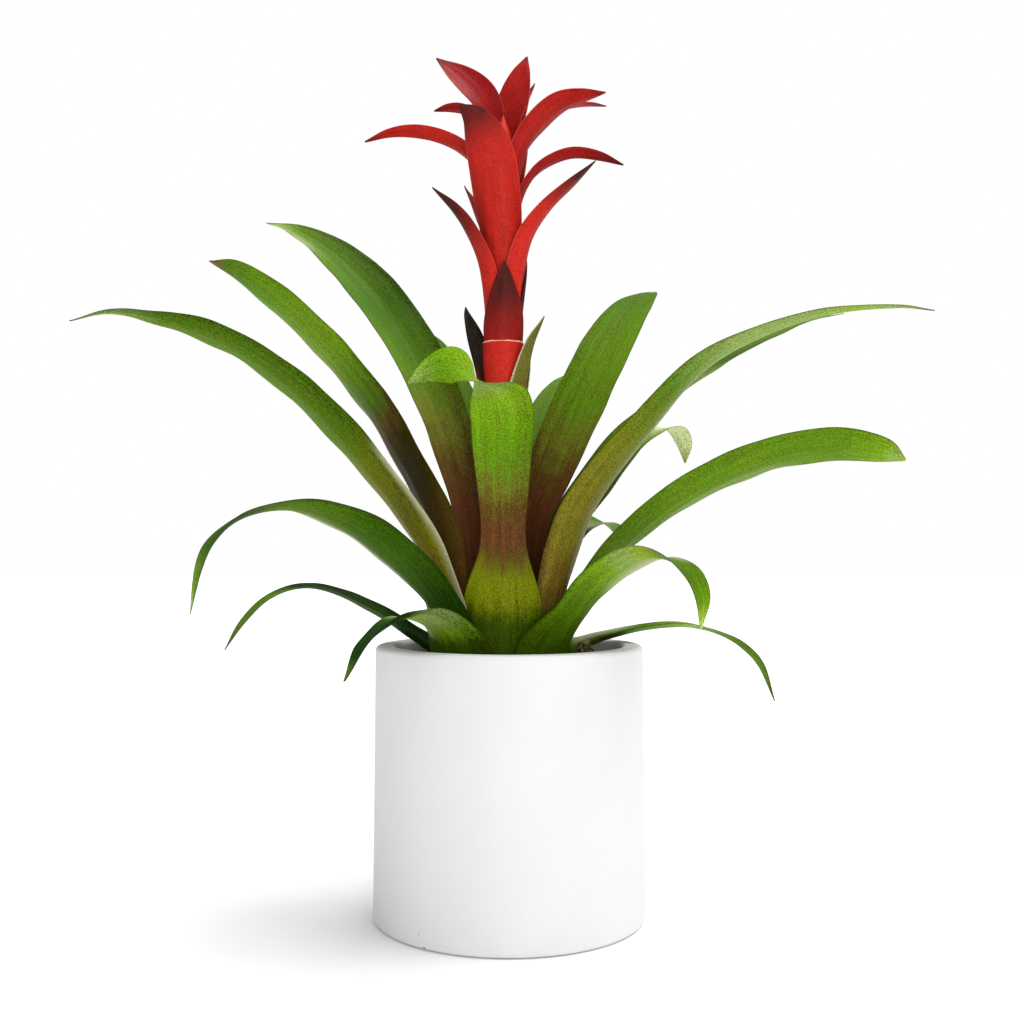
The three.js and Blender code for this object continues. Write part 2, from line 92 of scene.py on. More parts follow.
def grainy(tree, vector, scale, detail=3.0, offset=0.0):
    """Noise about 0.5, with its scale given for each axis in features per metre."""
    inputs = {"Vector": vector, "Scale": scale, "Location": (offset, 1.7 * offset, 0)}
    place = shader_node(tree, "Mapping", inputs)
    inputs = {"Vector": place.outputs[0], "Scale": 1.0, "Detail": detail, "Roughness": 0.55}
    return shader_node(tree, "TexNoise", inputs).outputs["Fac"]


def varied(tree, base, *parts):
    """A value moved up and down from its base by each noise times its weight."""
    for source, weight in parts:
        base = maths(tree, "ADD", base, maths(tree, "MULTIPLY_ADD", source, weight, -weight / 2))
    return base


def new_finish(name, roughness, specular=0.5):
    material = bpy.data.materials.new(name)
    material.use_nodes = True
    tree = material.node_tree
    shader = tree.nodes["Principled BSDF"]
    shader.inputs["Roughness"].default_value = roughness
    shader.inputs["Specular IOR Level"].default_value = specular
    return material, tree, shader


def connect(tree, shader, **sockets):
    for name, value in sockets.items():
        tree.links.new(value, shader.inputs[name.replace("_", " ")])


def bumped(tree, shader, height, distance, strength=1.0):
    inputs = {"Height": height, "Distance": distance, "Strength": strength}
    connect(tree, shader, Normal=shader_node(tree, "Bump", inputs).outputs[0])


SMOOTH_TO_DEGREES = 40


def add_piece(name, bm, material, slot, *replaced):
    """A finished mesh, riding on the plant's one body in place of its CAD nodes."""
    mesh = bpy.data.meshes.new(name)
    bm.to_mesh(mesh)
    bm.free()
    for face in mesh.polygons:
        face.use_smooth = True
    mesh.set_sharp_from_angle(angle=math.radians(SMOOTH_TO_DEGREES))
    mesh.materials.append(material)
    piece = bpy.data.objects.new(name, mesh)
    bpy.context.scene.collection.objects.link(piece)
    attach(piece, "root")
    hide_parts(*replaced)
    return piece


def eased(radius, height, start):
    """A quarter-round edge on the pot's profile, from its start direction on."""
    angles = [math.radians(start + 90 * i / POT_EDGE_STEPS) for i in range(POT_EDGE_STEPS + 1)]
    return [(radius + POT_EDGE_ROUND * math.cos(a), height + POT_EDGE_ROUND * math.sin(a)) for a in angles]


def turned(bm, profile, steps, x=0.0):
    """A profile of [radius, height] points in millimetres, turned about an upright axis."""
    verts = [bm.verts.new(((x + radius) * MM, 0, height * MM)) for radius, height in profile]
    edges = [bm.edges.new(pair) for pair in zip(verts, verts[1:])]
    bmesh.ops.spin(
        bm, geom=verts + edges, cent=(x * MM, 0, 0), axis=(0, 0, 1), angle=2 * math.pi, steps=steps,
        use_merge=True,
    )
    bmesh.ops.remove_doubles(bm, verts=bm.verts[:], dist=1e-6)
    bmesh.ops.recalc_face_normals(bm, faces=bm.faces[:])


def pot_finish():
    """Matt white glaze, very slightly clouded."""
    material, tree, shader = new_finish("pot_glaze", 0.5, 0.35)
    place = shader_node(tree, "TexCoord").outputs["Object"]
    cloud = grainy(tree, place, (26, 26, 18))
    fine = grainy(tree, place, (900, 900, 900), 4)
    colour = mixed(tree, cloud, srgb(212, 212, 214), srgb(219, 219, 221))
    for spot, size in POT_FLAWS:
        away = shader_node(tree, "VectorMath", {0: place, 1: [c * MM for c in spot]}, operation="DISTANCE")
        hole = ramped(tree, away.outputs["Value"], size * 0.6 * MM, size * MM, 1, 0)
        colour = mixed(tree, hole, colour, srgb(150, 146, 140))
    connect(tree, shader, Base_Color=colour, Roughness=ramped(tree, fine, 0.3, 0.7, 0.46, 0.56))
    bumped(tree, shader, maths(tree, "ADD", fine, maths(tree, "MULTIPLY", cloud, 2.0)), 0.00006)
    return material


pot = bmesh.new()
turned(
    pot,
    [
        (0, 0),
        (POT_FOOT_RADIUS * 0.5, 0),
        *eased(POT_FOOT_RADIUS - POT_EDGE_ROUND, POT_EDGE_ROUND, -90),
        (POT_FOOT_RADIUS - 0.1, POT_WALL_END),
        (POT_RIM_RADIUS + 0.1, POT_HEIGHT - POT_WALL_END),
        *eased(POT_RIM_RADIUS - POT_EDGE_ROUND, POT_HEIGHT - POT_EDGE_ROUND, 0),
        *eased(POT_BORE_RADIUS + POT_EDGE_ROUND, POT_HEIGHT - POT_EDGE_ROUND, 90),
        (POT_BORE_RADIUS, POT_HEIGHT - POT_WALL_END),
        (POT_BORE_RADIUS, POT_FLOOR),
        (0, POT_FLOOR),
    ],
    160,
)
add_piece("pot_body", pot, pot_finish(), "pot_white", "pot")

# ---------------------------------------------------------------------------------------------------
# The potting mix: peat and fine bark, loosely filled to a finger's breadth under the rim.
# Its top is uneven, with crumbs lying on it and a tuft of moss and fibre against the leaf at the right.
# ---------------------------------------------------------------------------------------------------
MIX_FOOT = 104
MIX_RADIUS = 62.7
MIX_RING_WIDTH = 21.7
MIX_STEM_RADIUS = 41
MIX_WALL_HEIGHT = 137
MIX_CROWN_HEIGHT = 141.5
MIX_SLOPE_WIDTH = 13.5
MIX_UNEVENNESS = 2.2
CRUMBS = 1500
CRUMB_SIZES = (0.5, 0.7, 0.9, 1.3)
CRUMB_RING = (43.5, 61)
TUFT_GRAINS = 160
TUFT_PLACE = (41.5, -3, 139)
TUFT_HEIGHT = 13
TUFT_OLIVE_FROM = (0.143, 0.146)
TUFT_PINK_FROM = (0.149, 0.156)


def mix_finish():
    """Dark peat with paler specks; the tuft is olive fibre, pinkish at its top."""
    material, tree, shader = new_finish("peat_and_bark", 0.95, 0.2)
    place = shader_node(tree, "TexCoord").outputs["Object"]
    clods = grainy(tree, place, (240, 240, 240), 5)
    specks = grainy(tree, place, (1400, 1400, 1400), 2)
    colour = mixed(tree, ramped(tree, clods, 0.35, 0.65), srgb(38, 28, 20), srgb(86, 62, 42))
    colour = mixed(tree, ramped(tree, specks, 0.6, 0.75), colour, srgb(140, 108, 80))
    height = shader_node(tree, "SeparateXYZ", {0: place}).outputs[2]
    fibre = mixed(tree, ramped(tree, specks, 0.35, 0.65), srgb(70, 68, 28), srgb(128, 120, 66))
    fibre = mixed(tree, ramped(tree, height, *TUFT_PINK_FROM), fibre, srgb(172, 142, 112))
    colour = mixed(tree, ramped(tree, height, *TUFT_OLIVE_FROM), colour, fibre)
    connect(tree, shader, Base_Color=colour)
    bumped(tree, shader, maths(tree, "ADD", clods, specks), 0.001)
    return material


def mix_height(part):
    """The height of the mix, at a part of the way from the pot's wall up its slope."""
    return MIX_WALL_HEIGHT + (MIX_CROWN_HEIGHT - MIX_WALL_HEIGHT) * min(1, part)


random.seed(11)
mix = bmesh.new()
top_rings = [(MIX_RADIUS - MIX_RING_WIDTH * i / 16, mix_height(i / 10)) for i in range(17)]
foot_edges = [(MIX_STEM_RADIUS, MIX_FOOT), (MIX_RADIUS, MIX_FOOT)]
turned(mix, [*foot_edges, *top_rings, foot_edges[0]], 120)
for vert in mix.verts:
    if vert.co.z > 130 * MM:
        vert.co.z += MIX_UNEVENNESS * MM * noise.fractal(vert.co * 130, 0.8, 2.1, 5)
grain = bmesh.new()
bmesh.ops.create_icosphere(grain, subdivisions=1, radius=MM)
crumb = bpy.data.meshes.new("crumb")
grain.to_mesh(crumb)
grain.free()


def drop_crumb(spot, axis, size):
    """Adds one crumb to the mix, turned about the axis and stretched by chance."""
    place = Matrix.Translation(spot * MM) @ Matrix.Rotation(random.uniform(0, 6), 4, Vector(axis))
    place @= Matrix.Diagonal([size * random.uniform(0.5, 1.5) for _ in range(3)] + [1])
    crumb.transform(place)
    mix.from_mesh(crumb)
    crumb.transform(place.inverted())


for _ in range(CRUMBS):
    angle = random.uniform(0, 2 * math.pi)
    radius = math.sqrt(random.uniform(CRUMB_RING[0] ** 2, CRUMB_RING[1] ** 2))
    height = mix_height((MIX_RADIUS - radius) / MIX_SLOPE_WIDTH)
    size = random.choice(CRUMB_SIZES)
    spot = Vector((radius * math.cos(angle), radius * math.sin(angle), height + random.uniform(-0.2, 0.9)))
    drop_crumb(spot, (0.3, 1, 0.2), size)
for _ in range(TUFT_GRAINS):
    part = random.random()
    spread = Vector((random.gauss(0, 3.1 - 1.6 * part), random.gauss(0, 2.6), TUFT_HEIGHT * part))
    drop_crumb(Vector(TUFT_PLACE) + spread, (1, 0.4, 0.3), 1)
bpy.data.meshes.remove(crumb)
add_piece("potting_mix_crumb", mix, mix_finish(), "mix_brown", "potting_mix")

# ---------------------------------------------------------------------------------------------------
# The leaves: one strap-shaped blade on a broad clasping sheath each, thin, waxy and finely veined.
# The sheaths nest one inside the other on the plant's short stem, the lowest leaf outermost.
# ---------------------------------------------------------------------------------------------------
LEAF_THICKNESS = 0.8
LEAF_COLUMNS = 20
LEAF_ROWS = 110
STEM_SHOULDER_RADIUS = 39
STEM_SHOULDER_HEIGHT = 118
STEM_CONE_SLOPE = 34 / 30
SHEATH_STEP = 1.3
SHEATH_LEAN = 0.1
SHEATH_SEAT = 1.25

# The layer counts sheaths inwards from the outermost, half is half the angle that a sheath clasps, and
# parting is the height where the blade leaves it. Stations are [reach, height, width, roll, curl, sway]
# along the midrib, in millimetres and degrees. Bands are the colours from the sheath to the tip, at parts
# of the blade's length, with painted light and shade in them: lighter on lit stretches, darker on shaded
# ones.
# Side shade paints shade across the blade, one margin darker and the other lighter, and pale is a painted
# highlight that whitens one margin: [margin, start, end, amount, inner].
LEAVES = {
    "leaf_front_left_low": dict(
        azimuth=232, layer=0, half=32, parting=146, wave=0.5, side_shade=-0.45, pale=(-1, 0.26, 0.46, 0.95, 0.35),
        stations=[(49, 159.5, 34, 6, 30), (66, 167.5, 29, 10, 24), (81, 168.5, 26, 10, 20),
                  (96, 164, 25, 20, 18), (110, 156, 18, 24, 14), (123, 140, 2, 20, 6)],
        bands=[(0, "foot"), (0.2, "foot"), (0.28, "bright"), (0.36, "sage_sheen"), (0.52, "sage_sheen"), (0.6, "half_shade"),
               (0.68, "shade"), (0.9, "shade"), (0.97, "moss")],
    ),
    "leaf_right_low": dict(
        azimuth=15, layer=1, half=30, parting=134, wave=0.4, side_shade=0.05, pale=(1, 0.24, 0.38, 0.7, 0.4),
        stations=[(43.5, 144.5, 33, 0, 40), (54, 149.8, 28, 0, 34), (66, 153.2, 25, 0, 30),
                  (82, 156.6, 22, 0, 28), (100, 158.4, 20, 0, 26), (116, 157.7, 18, 0, 22),
                  (132, 153.4, 16, 0, 20), (146, 145.6, 14, 0, 16), (158, 133.8, 10, 0, 14),
                  (167, 113, 1, 0, 5)],
        bands=[(0, "foot"), (0.2, "moss"), (0.3, "umber"), (0.38, "deep"), (0.5, "leaf"), (0.6, "sage_sheen"),
               (0.7, "leaf"), (0.8, "moss"), (0.93, "leaf"), (1, "brown")],
    ),
    "leaf_left_low": dict(
        azimuth=172, layer=2, half=32, parting=142, wave=0.4, side_shade=0.2,
        stations=[(46, 148.6, 34, 0, 40), (56, 155.4, 29, 0, 40), (67, 163, 26, 0, 38),
                  (80, 170, 24, 0, 34), (94, 177, 22, 0, 30), (110, 181.4, 19, 0, 24),
                  (125, 180, 16, 0, 18), (140, 172.6, 14, 0, 14), (153, 159.5, 11, 0, 12),
                  (163, 145, 1, 0, 5)],
        bands=[(0, "half_shade"), (0.2, "shade"), (0.3, "shade"), (0.42, "half_shade"), (0.55, "shade"),
               (0.68, "shade"), (0.76, "moss"), (0.9, "moss"), (1, "brown")],
    ),
    "leaf_back_low": dict(
        azimuth=105, layer=3, half=33, parting=156, wave=0.8,
        stations=[(46, 172, 32, 0, 30), (76, 186, 30, 0, 24), (112, 192, 29, 0, 20), (148, 186, 27, 0, 18),
                  (178, 168, 20, 0, 14), (198, 146, 1, 0, 5)],
        bands=[(0, "foot"), (0.2, "deep"), (0.45, "moss"), (0.75, "leaf"), (0.93, "fresh"), (1, "brown")],
    ),
    "leaf_front_right": dict(
        azimuth=328, layer=4, half=46, parting=149, wave=0.5, side_shade=0.15, pale=(1, 0.36, 0.64, 0.75, -0.1),
        stations=[(50, 170, 38, -4, 34), (61, 182.5, 35, -12, 26), (73, 192.5, 34, -15, 22),
                  (87, 199, 32, -14, 20), (101, 198.5, 28, -8, 18), (113, 191, 25, 0, 18),
                  (119.5, 178, 18, 0, 14), (119.5, 162, 1, 0, 5)],
        bands=[(0, "foot"), (0.1, "foot"), (0.2, "moss"), (0.3, "leaf"), (0.42, "bright"), (0.5, "sage_sheen"),
               (0.58, "sun"), (0.68, "leaf"), (0.8, "moss"), (0.9, "fresh"), (0.96, "sun"), (1, "straw")],
    ),
    "leaf_left_arching": dict(
        azimuth=207, layer=5, half=42, parting=156, wave=0.7, side_shade=-0.35, pale=(-1, 0.28, 0.62, 0.75, 0.5),
        stations=[(44, 175, 44, 4, 34), (63, 196.5, 42, 14, 24), (88, 214.5, 34, 16, 18),
                  (118, 224.5, 24, 14, 16), (146, 220.5, 20, 6, 16), (162, 208.5, 21, 0, 16),
                  (169.5, 193, 18, 0, 16), (174, 171, 1, 0, 5)],
        bands=[(0, "half_shade"), (0.12, "half_shade"), (0.22, "half_shade"), (0.34, "deep"), (0.42, "deep"), (0.5, "moss"),
               (0.6, "leaf"), (0.68, "half_shade"), (0.8, "deep"), (0.9, "fresh"), (0.95, "bright"),
               (1, "straw")],
    ),
    "leaf_right_long": dict(
        azimuth=352, layer=6, half=42, parting=156, wave=0.5, side_shade=0.1, pale=(1, 0.5, 0.64, 0.25, 0.2),
        stations=[(44, 179, 36, 0, 34), (60, 197.5, 33, -15, 24), (85.5, 221.5, 30, -30, 20),
                  (115, 240, 29, -35, 18), (147, 253.3, 29.5, -35, 18), (179, 258.5, 29, -35, 18),
                  (206, 256, 21, -35, 16), (219, 251.5, 2, -35, 5)],
        bands=[(0, "half_shade"), (0.12, "half_shade"), (0.2, "leaf"), (0.3, "leaf"), (0.4, "moss"), (0.5, "leaf"),
               (0.6, "leaf"), (0.8, "leaf"), (0.9, "bright"), (0.96, "sage_sheen"), (1, "sun")],
    ),
    "leaf_back_right_low": dict(
        azimuth=78, layer=6.8, half=40, parting=156, wave=0.8,
        stations=[(46.5, 178, 28, 0, 28, 2), (68, 193.5, 29, 0, 24, 2), (98, 199, 30, 0, 20),
                  (132, 192, 28, 0, 18), (158, 174, 20, 0, 14), (172, 152, 1, 0, 5)],
        bands=[(0, "foot"), (0.2, "olive"), (0.4, "moss"), (0.7, "leaf"), (0.93, "fresh"), (1, "brown")],
    ),
    "leaf_front_upright": dict(
        azimuth=270, layer=9.3, half=45, parting=156, wave=0.5, side_shade=-0.14,
        stations=[(34, 178, 44, 0, 40), (37, 205, 25, 0, 24), (44, 232, 27, 0, 20), (55, 256, 31, 0, 18),
                  (64, 271, 33, 0, 18), (71, 281.5, 32, -22, 18, -4), (78, 288.6, 20, -71, 18, -13),
                  (82, 294.5, 21, -120, 16, -24), (83, 292, 13, -130, 14, -36),
                  (82, 286, 1, -130, 5, -46.5)],
        bands=[(0, "foot"), (0.12, "foot"), (0.165, "lime"), (0.205, "lime"), (0.25, "brown"),
               (0.285, "maroon"), (0.335, "brown"), (0.375, "olive"), (0.42, "leaf"), (0.5, "fresh"),
               (0.62, "bright"), (0.7, "sage_sheen"), (0.76, "bright"), (0.88, "fresh"), (1, "sage_sheen")],
    ),
    "leaf_left_long": dict(
        azimuth=196, layer=8, half=44, parting=156, wave=0.8, side_shade=-0.45, pale=(1, 0.1, 0.34, 0.7, 0.72),
        stations=[(42, 193, 40, 6, 40), (58, 222, 35, 14, 30), (80, 251, 33, 20, 26),
                  (104, 278, 30, 22, 24), (132, 301, 27, 20, 22), (158, 315, 24, 18, 20),
                  (187, 323.5, 17, 16, 18), (211, 326, 7, 10, 14), (231, 320.5, 1, 0, 5)],
        bands=[(0, "foot"), (0.1, "lime"), (0.15, "gold"), (0.23, "gold"), (0.29, "khaki"), (0.36, "lime"),
               (0.45, "moss"), (0.6, "moss"), (0.8, "moss"), (0.95, "sage_sheen"), (1, "brown")],
    ),
    "leaf_back_right_short": dict(
        azimuth=50, layer=8.15, half=38, parting=156, wave=0.6,
        stations=[(44, 188.5, 27, 0, 28), (62.5, 211, 27, 4, 22), (86, 220, 26, 12, 20),
                  (110, 215, 21, 16, 16), (134, 197, 1, 10, 5)],
        bands=[(0, "foot"), (0.2, "olive"), (0.3, "brown"), (0.42, "brown"), (0.5, "olive"),
               (0.58, "straw"), (0.7, "fresh"), (0.8, "fresh"), (0.9, "deep"), (1, "fresh")],
    ),
    "leaf_right_pale": dict(
        azimuth=42, layer=9.4, half=28, parting=156, wave=0.6,
        stations=[(43.6, 200, 20, 0, 24, 1.5), (61.5, 222, 23, 0, 24), (87, 247, 24, 0, 22),
                  (112, 268, 22, 0, 20), (133, 279, 20, 0, 18), (149, 279, 17, 0, 16),
                  (157, 270, 12, 0, 12), (158, 259, 1, 0, 5)],
        bands=[(0, "foot"), (0.2, "brown"), (0.3, "olive"), (0.42, "moss"), (0.5, "leaf"), (0.6, "sage_sheen"),
               (0.68, "straw"), (0.9, "straw"), (1, "sage_sheen")],
    ),
    "leaf_right_behind": dict(
        azimuth=24, layer=12.3, half=34, parting=156, wave=0.8,
        stations=[(32, 204, 27, 0, 34), (51, 238, 26, 4, 28), (84, 274, 26, 8, 24), (128, 307, 25, 10, 20),
                  (169, 330, 23, 10, 18), (208, 347, 17, 8, 14), (239, 355, 2, 0, 5)],
        bands=[(0, "foot"), (0.2, "brown"), (0.3, "olive"), (0.5, "leaf"), (0.6, "sage_sheen"), (0.68, "deep"),
               (0.8, "leaf"), (0.95, "leaf"), (1, "tip")],
    ),
    "leaf_left_upper": dict(
        azimuth=182, layer=12, half=44, parting=156, wave=0.5, side_shade=-0.08, pale=(-1, 0.36, 0.5, 0.75, 0.4),
        stations=[(35, 203, 41, 22, 38), (48, 236, 39, 26, 28), (60.5, 259, 38, 26, 26),
                  (75.5, 285, 37, 26, 24), (100, 315, 35, 26, 20), (126, 341, 31, 26, 18),
                  (149, 358, 21, 24, 16), (165, 365, 1, 20, 5)],
        bands=[(0, "foot"), (0.14, "maroon"), (0.22, "brown"), (0.34, "umber"), (0.44, "umber"),
               (0.51, "brown"), (0.56, "moss"), (0.66, "bright"), (0.82, "fresh"), (0.92, "moss"),
               (1, "tip")],
    ),
    "leaf_right_upper": dict(
        azimuth=345, layer=10.9, half=43, parting=156, wave=0.3, side_shade=0.2, pale=(1, 0.12, 0.7, 0.6, 0.1),
        stations=[(39.5, 202, 41, -16, 40), (51, 230.5, 41, -15, 30), (79, 267, 34, -15, 26),
                  (111, 301, 32, -8, 22), (145, 318.5, 28, -1, 20), (180, 328, 18, 1, 16),
                  (212, 329.5, 9, 0, 10), (231, 326.7, 1, 0, 5)],
        bands=[(0, "foot"), (0.1, "brown"), (0.18, "tan"), (0.25, "khaki"), (0.34, "khaki"), (0.5, "leaf"),
               (0.62, "sage_sheen"), (0.74, "sage_sheen"), (0.82, "sun"), (0.93, "sage_sheen"), (0.965, "tip"), (1, "tip")],
    ),
    "leaf_back_upright": dict(
        azimuth=92, layer=14.1, half=44, parting=156, wave=0.8,
        stations=[(30.5, 200, 34, 0, 31), (46, 236, 32, 0, 26), (75, 264, 31, 0, 24), (112, 281, 30, 0, 22),
                  (148, 283, 28, 0, 20), (178, 271, 20, 0, 16), (198, 253, 1, 0, 5)],
        bands=[(0, "foot"), (0.2, "maroon"), (0.32, "olive"), (0.5, "moss"), (0.75, "leaf"),
               (0.93, "fresh"), (1, "tip")],
    ),
    "leaf_left_tall": dict(
        azimuth=142, layer=17.4, half=44, parting=156, wave=0.5, side_shade=0.45, pale=(1, 0.8, 0.93, 0.4, 0.3),
        stations=[(24, 205, 34, 0, 40), (34, 248, 35, -8, 26), (51, 291, 36, -14, 22),
                  (75, 330, 37, -20, 18), (108, 367, 35, -24, 16), (143, 395, 27, -26, 14),
                  (173, 412, 14, -26, 10), (202, 421, 1, -26, 5)],
        bands=[(0, "foot"), (0.13, "maroon"), (0.28, "maroon"), (0.34, "brown"), (0.4, "olive"),
               (0.48, "moss"), (0.62, "deep"), (0.78, "moss"), (0.88, "leaf"), (0.95, "sage_sheen"), (1, "tip")],
    ),
    "leaf_right_tall": dict(
        azimuth=45, layer=18.5, half=44, parting=156, wave=0.4, side_shade=-0.15,
        stations=[(22, 210, 34, 0, 43, -2), (32, 244, 35, 8, 24, -6), (49, 277, 36, 14, 18, -8),
                  (68, 307, 36, 16, 14, -8), (92, 336, 34, 16, 12, -4), (115, 356.5, 27, 14, 12),
                  (131, 366, 15, 12, 10, 1), (139, 369.5, 2, 10, 5, 1)],
        bands=[(0, "foot"), (0.16, "maroon"), (0.28, "maroon"), (0.34, "brown"), (0.4, "olive"),
               (0.48, "leaf"), (0.55, "leaf"), (0.65, "leaf"), (0.8, "moss"), (0.95, "moss"), (1, "straw")],
    ),
    "leaf_back_left": dict(
        azimuth=117, layer=16.3, half=42, parting=156, wave=0.7,
        stations=[(26.5, 205, 30, 0, 32), (35, 240, 30, 0, 24), (52, 276, 29, 0, 20), (76, 308, 26, 0, 16),
                  (99, 333, 16, 0, 12), (118, 347, 1, 0, 5)],
        bands=[(0, "foot"), (0.16, "maroon"), (0.32, "maroon"), (0.42, "olive"), (0.55, "moss"),
               (0.9, "moss"), (1, "tip")],
    ),
    "leaf_back_right": dict(
        azimuth=72, layer=15.2, half=42, parting=156, wave=0.7,
        stations=[(29.5, 203, 30, 0, 29), (42, 236, 30, 0, 24), (65, 266, 29, 0, 20), (95, 293, 26, 0, 18),
                  (125, 312, 18, 0, 14), (155, 325, 1, 0, 5)],
        bands=[(0, "foot"), (0.16, "maroon"), (0.3, "maroon"), (0.4, "olive"), (0.55, "moss"),
               (0.9, "leaf"), (1, "tip")],
    ),
}
LEAF_COLOURS = {
    "foot": (60, 82, 4),
    "shade": (18, 50, 0),
    # painted half shade: a dark green for stretches turned from the light
    "half_shade": (38, 70, 1),
    "deep": (56, 91, 3),
    "moss": (76, 108, 8),
    "leaf": (88, 122, 18),
    "fresh": (92, 132, 12),
    "bright": (112, 148, 24),
    # painted sunlight: the yellow-green of stretches in full light
    "sun": (144, 170, 44),
    # painted sheen: the grey-green where a blade catches the light
    "sage_sheen": (134, 157, 78),
    "olive": (97, 102, 27),
    "lime": (112, 120, 10),
    "khaki": (126, 120, 34),
    "gold": (160, 150, 36),
    "tan": (124, 100, 38),
    "maroon": (94, 54, 30),
    "brown": (86, 66, 24),
    "umber": (54, 47, 9),
    "straw": (196, 206, 148),
    "tip": (122, 78, 58),
}


def through(points, t):
    """A smooth curve through evenly numbered points, at t from 0 to 1."""
    last = len(points) - 1
    index = min(int(t * last), last - 1)
    part = t * last - index
    b, c = points[index], points[index + 1]
    a = points[index - 1] if index else b * 2 - c
    d = points[index + 2] if index + 2 <= last else c * 2 - b
    leave, arrive = (c - a) / 2, (d - b) / 2
    cubic, square = (b - c) * 2 + leave + arrive, (c - b) * 3 - leave * 2 - arrive
    return cubic * part**3 + square * part**2 + leave * part + b


def sheath_stations(layer, half, parting):
    """The clasping foot: it stands on the short stem's cone and leans out a little."""
    at_shoulder = STEM_SHOULDER_RADIUS - SHEATH_STEP * layer
    rise = STEM_CONE_SLOPE * (STEM_SHOULDER_RADIUS - at_shoulder) + SHEATH_SEAT
    seat = STEM_SHOULDER_HEIGHT + rise / (1 + STEM_CONE_SLOPE * SHEATH_LEAN)
    stations = []
    for height in (seat, parting):
        radius = at_shoulder + SHEATH_LEAN * (height - STEM_SHOULDER_HEIGHT)
        stations.append((radius, height, 2 * radius * math.radians(half), 0, half))
    return stations


def midrib(azimuth, stations, rows):
    """The frame of each row: place, across, up, half width, curl and length so far."""
    outward = Vector((math.cos(azimuth), math.sin(azimuth), 0))
    sideways = Vector((-math.sin(azimuth), math.cos(azimuth), 0))
    places = [
        Vector((PLANT_X, 0, s[1])) + outward * s[0] + sideways * (s[5] if len(s) > 5 else 0) for s in stations
    ]
    sizes = [Vector(s[2:5]) for s in stations]
    frames, side, length, before = [], sideways, 0.0, places[0]
    for row in range(rows + 1):
        t = row / rows
        place = through(places, t)
        ahead, behind = through(places, min(t + 1e-4, 1)), through(places, max(t - 1e-4, 0))
        tangent = (ahead - behind).normalized()
        side = (side - tangent * side.dot(tangent)).normalized()
        width, roll, curl = through(sizes, t)
        across = Quaternion(tangent, math.radians(roll)) @ side
        length += (place - before).length
        before = place
        half, curl = max(width, 1) / 2, math.radians(max(curl, 2))
        frames.append((place, across, tangent.cross(across), half, curl, length))
    return frames


BLADE_MARKS = ("across", "along", "side", "dark", "tone")
RIPPLE_LENGTH = 26
RIPPLE_DEPTH = 3.0
FLUTE_LENGTH = 40
FLUTE_DEPTH = 0.12
GROOVE_WIDTH = 0.14
MARGIN_LENGTH = 18


def new_blades():
    bm = bmesh.new()
    for mark in BLADE_MARKS:
        bm.verts.layers.float.new(mark)
    bm.loops.layers.uv.new("blade")
    return bm


def lay_blade(
    bm, azimuth, stations, thickness, columns, rows, wave, seed, dark=None, tone=0.0, channel=0.4
):
    """Adds one blade: a sheet given a thin wall, then laid along its midrib with its margins gently waved."""
    across_mark, along_mark, side_mark, dark_mark, tone_mark = (bm.verts.layers.float[m] for m in BLADE_MARKS)
    uv_layer = bm.loops.layers.uv["blade"]
    sheet = bmesh.ops.create_grid(bm, x_segments=columns, y_segments=rows, size=1)["verts"]
    for vert in sheet:
        vert[across_mark], vert[along_mark] = vert.co.x, (vert.co.y + 1) / 2
    faces = list({face for vert in sheet for face in vert.link_faces})
    grown = bmesh.ops.extrude_face_region(bm, geom=faces, use_keep_orig=True)["geom"]
    under = [part for part in grown if isinstance(part, bmesh.types.BMVert)]
    for vert in under:
        vert[side_mark] = 1
    frames = midrib(math.radians(azimuth), stations, rows)
    widest = max(frame_[3] for frame_ in frames)
    for vert in sheet + under:
        a, t = vert[across_mark], vert[along_mark]
        place, over, up, half, curl, length = frames[round(t * rows)]
        ease = min(1, 5 * t) * min(1, 6 * (1 - t)) * min(1, half / 8)
        ripple = noise.noise(Vector((length / RIPPLE_LENGTH, 3 * (1 if a > 0 else -1) + seed, seed)))
        ripple *= RIPPLE_DEPTH * wave * abs(a) ** 3
        sway = 2 * noise.noise(Vector((length / FLUTE_LENGTH, seed, 0)))
        flute = FLUTE_DEPTH * math.sin(9.5 * a + seed + sway)
        groove = -channel * math.exp(-((a / GROOVE_WIDTH) ** 2))
        lift = ease * (ripple + flute + groove)
        margin = noise.noise(Vector((length / MARGIN_LENGTH, seed, 9 if a > 0 else 4)))
        reach = half * (1 + 0.02 * ease * margin)
        angle, radius = a * curl, reach / curl
        middle = place + over * (radius * math.sin(angle)) + up * (radius * (1 - math.cos(angle)))
        normal = up * math.cos(angle) - over * math.sin(angle)
        wall = thickness * (1 - 0.55 * abs(a) ** 4) * (0.6 + 0.4 * min(1, 8 * (1 - t)))
        lift += (0.5 - vert[side_mark]) * wall
        vert.co = (middle + normal * lift) * MM
        vert[tone_mark] = tone
        if dark:
            start, full, amount = dark
            part = min(1, max(0, (t - start) / (full - start)))
            vert[dark_mark] = amount * part * part * (3 - 2 * part)
    for face in {face for vert in sheet + under for face in vert.link_faces}:
        for loop in face.loops:
            a, t = loop.vert[across_mark], loop.vert[along_mark]
            loop[uv_layer].uv = (a * widest * MM, frames[round(t * rows)][5] * MM)


def marked(tree, *names):
    """The values that lay_blade left on the blade's points."""
    return (shader_node(tree, "Attribute", attribute_name=name).outputs["Fac"] for name in names)


def near_margin(tree, across, start, amount=1.0):
    """Nothing up to this part of the half width, then rising to the amount at the blade's margin."""
    return ramped(tree, maths(tree, "ABSOLUTE", across), start, 1.0, 0, amount)


def toned(tree, colour, light, hue=0.5):
    return shader_node(tree, "HueSaturation", {"Hue": hue, "Value": light, "Color": colour}).outputs[0]


